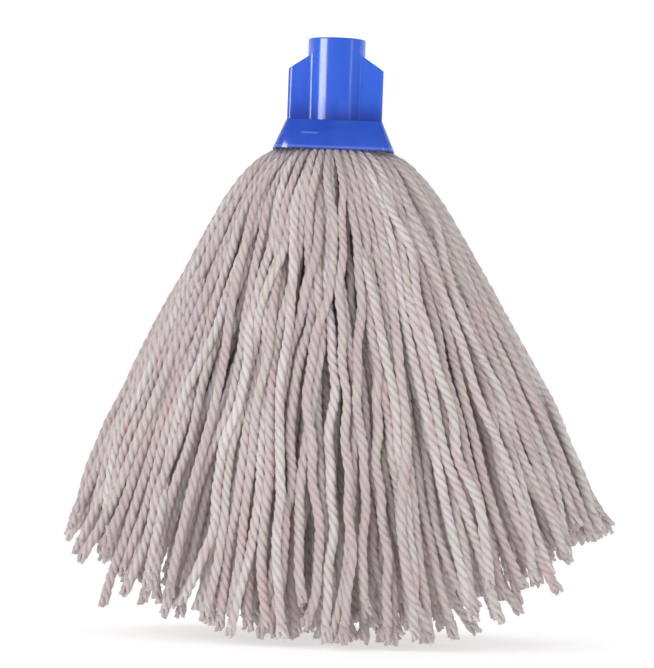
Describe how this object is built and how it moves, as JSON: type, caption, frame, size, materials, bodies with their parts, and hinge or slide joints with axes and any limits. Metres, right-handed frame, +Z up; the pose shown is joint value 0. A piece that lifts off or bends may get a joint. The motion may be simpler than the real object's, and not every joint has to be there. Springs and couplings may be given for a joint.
{
  "type": "string mop head",
  "caption": "String mop head with a moulded push-fit handle socket, an inner steel yarn staple and hanging hanks of twisted cotton yarn that swing outwards.",
  "frame": {"origin": "on the socket's axis, at the level of the longest strand ends that the head stands on", "axes": "+Z up along the socket's axis towards the handle; +X along the two wings; the front is -Y"},
  "size_m": [0.29, 0.164, 0.3274],
  "materials": {
    "socket_plastic": "glossy injection-moulded blue polypropylene",
    "cotton_yarn": "matt, fuzzy, unbleached recycled cotton yarn with faint pink, lilac and cream flecks",
    "staple_steel": "plain zinc-plated strip"
  },
  "bodies": {
    "root": {"socket_body": "socket_plastic", "yarn_staple": "staple_steel", "yarn_fold": "cotton_yarn", "inner_hank_1": "cotton_yarn", "inner_hank_2": "cotton_yarn", "inner_hank_3": "cotton_yarn", "inner_hank_4": "cotton_yarn", "inner_hank_5": "cotton_yarn", "inner_hank_6": "cotton_yarn"},
    "outer_hank_01": {"outer_hank_01": "cotton_yarn"},
    "outer_hank_02": {"outer_hank_02": "cotton_yarn"},
    "outer_hank_03": {"outer_hank_03": "cotton_yarn"},
    "outer_hank_04": {"outer_hank_04": "cotton_yarn"},
    "outer_hank_05": {"outer_hank_05": "cotton_yarn"},
    "outer_hank_06": {"outer_hank_06": "cotton_yarn"},
    "outer_hank_07": {"outer_hank_07": "cotton_yarn"},
    "outer_hank_08": {"outer_hank_08": "cotton_yarn"},
    "outer_hank_09": {"outer_hank_09": "cotton_yarn"},
    "outer_hank_10": {"outer_hank_10": "cotton_yarn"},
    "outer_hank_11": {"outer_hank_11": "cotton_yarn"},
    "outer_hank_12": {"outer_hank_12": "cotton_yarn"},
    "outer_hank_13": {"outer_hank_13": "cotton_yarn"},
    "outer_hank_14": {"outer_hank_14": "cotton_yarn"},
    "outer_hank_15": {"outer_hank_15": "cotton_yarn"},
    "outer_hank_16": {"outer_hank_16": "cotton_yarn"}
  },
  "joints": [
    {"name": "outer_hank_01_swing", "type": "hinge", "parent": "root", "child": "outer_hank_01", "pos_m": [0.02736, 0.00443, 0.257], "axis": [0.1951, -0.9808, 0], "range_deg": [0, 45]},
    {"name": "outer_hank_02_swing", "type": "hinge", "parent": "root", "child": "outer_hank_02", "pos_m": [0.0232, 0.01261, 0.257], "axis": [0.5556, -0.8315, 0], "range_deg": [0, 45]},
    {"name": "outer_hank_03_swing", "type": "hinge", "parent": "root", "child": "outer_hank_03", "pos_m": [0.0155, 0.01887, 0.257], "axis": [0.8315, -0.5556, 0], "range_deg": [0, 45]},
    {"name": "outer_hank_04_swing", "type": "hinge", "parent": "root", "child": "outer_hank_04", "pos_m": [0.00544, 0.02226, 0.257], "axis": [0.9808, -0.1951, 0], "range_deg": [0, 45]},
    {"name": "outer_hank_05_swing", "type": "hinge", "parent": "root", "child": "outer_hank_05", "pos_m": [-0.00544, 0.02226, 0.257], "axis": [0.9808, 0.1951, 0], "range_deg": [0, 45]},
    {"name": "outer_hank_06_swing", "type": "hinge", "parent": "root", "child": "outer_hank_06", "pos_m": [-0.0155, 0.01887, 0.257], "axis": [0.8315, 0.5556, 0], "range_deg": [0, 45]},
    {"name": "outer_hank_07_swing", "type": "hinge", "parent": "root", "child": "outer_hank_07", "pos_m": [-0.0232, 0.01261, 0.257], "axis": [0.5556, 0.8315, 0], "range_deg": [0, 45]},
    {"name": "outer_hank_08_swing", "type": "hinge", "parent": "root", "child": "outer_hank_08", "pos_m": [-0.02736, 0.00443, 0.257], "axis": [0.1951, 0.9808, 0], "range_deg": [0, 45]},
    {"name": "outer_hank_09_swing", "type": "hinge", "parent": "root", "child": "outer_hank_09", "pos_m": [-0.02736, -0.00443, 0.257], "axis": [-0.1951, 0.9808, 0], "range_deg": [0, 45]},
    {"name": "outer_hank_10_swing", "type": "hinge", "parent": "root", "child": "outer_hank_10", "pos_m": [-0.0232, -0.01261, 0.257], "axis": [-0.5556, 0.8315, 0], "range_deg": [0, 45]},
    {"name": "outer_hank_11_swing", "type": "hinge", "parent": "root", "child": "outer_hank_11", "pos_m": [-0.0155, -0.01887, 0.257], "axis": [-0.8315, 0.5556, 0], "range_deg": [0, 45]},
    {"name": "outer_hank_12_swing", "type": "hinge", "parent": "root", "child": "outer_hank_12", "pos_m": [-0.00544, -0.02226, 0.257], "axis": [-0.9808, 0.1951, 0], "range_deg": [0, 45]},
    {"name": "outer_hank_13_swing", "type": "hinge", "parent": "root", "child": "outer_hank_13", "pos_m": [0.00544, -0.02226, 0.257], "axis": [-0.9808, -0.1951, 0], "range_deg": [0, 45]},
    {"name": "outer_hank_14_swing", "type": "hinge", "parent": "root", "child": "outer_hank_14", "pos_m": [0.0155, -0.01887, 0.257], "axis": [-0.8315, -0.5556, 0], "range_deg": [0, 45]},
    {"name": "outer_hank_15_swing", "type": "hinge", "parent": "root", "child": "outer_hank_15", "pos_m": [0.0232, -0.01261, 0.257], "axis": [-0.5556, -0.8315, 0], "range_deg": [0, 45]},
    {"name": "outer_hank_16_swing", "type": "hinge", "parent": "root", "child": "outer_hank_16", "pos_m": [0.02736, -0.00443, 0.257], "axis": [-0.1951, -0.9808, 0], "range_deg": [0, 45]}
  ]
}
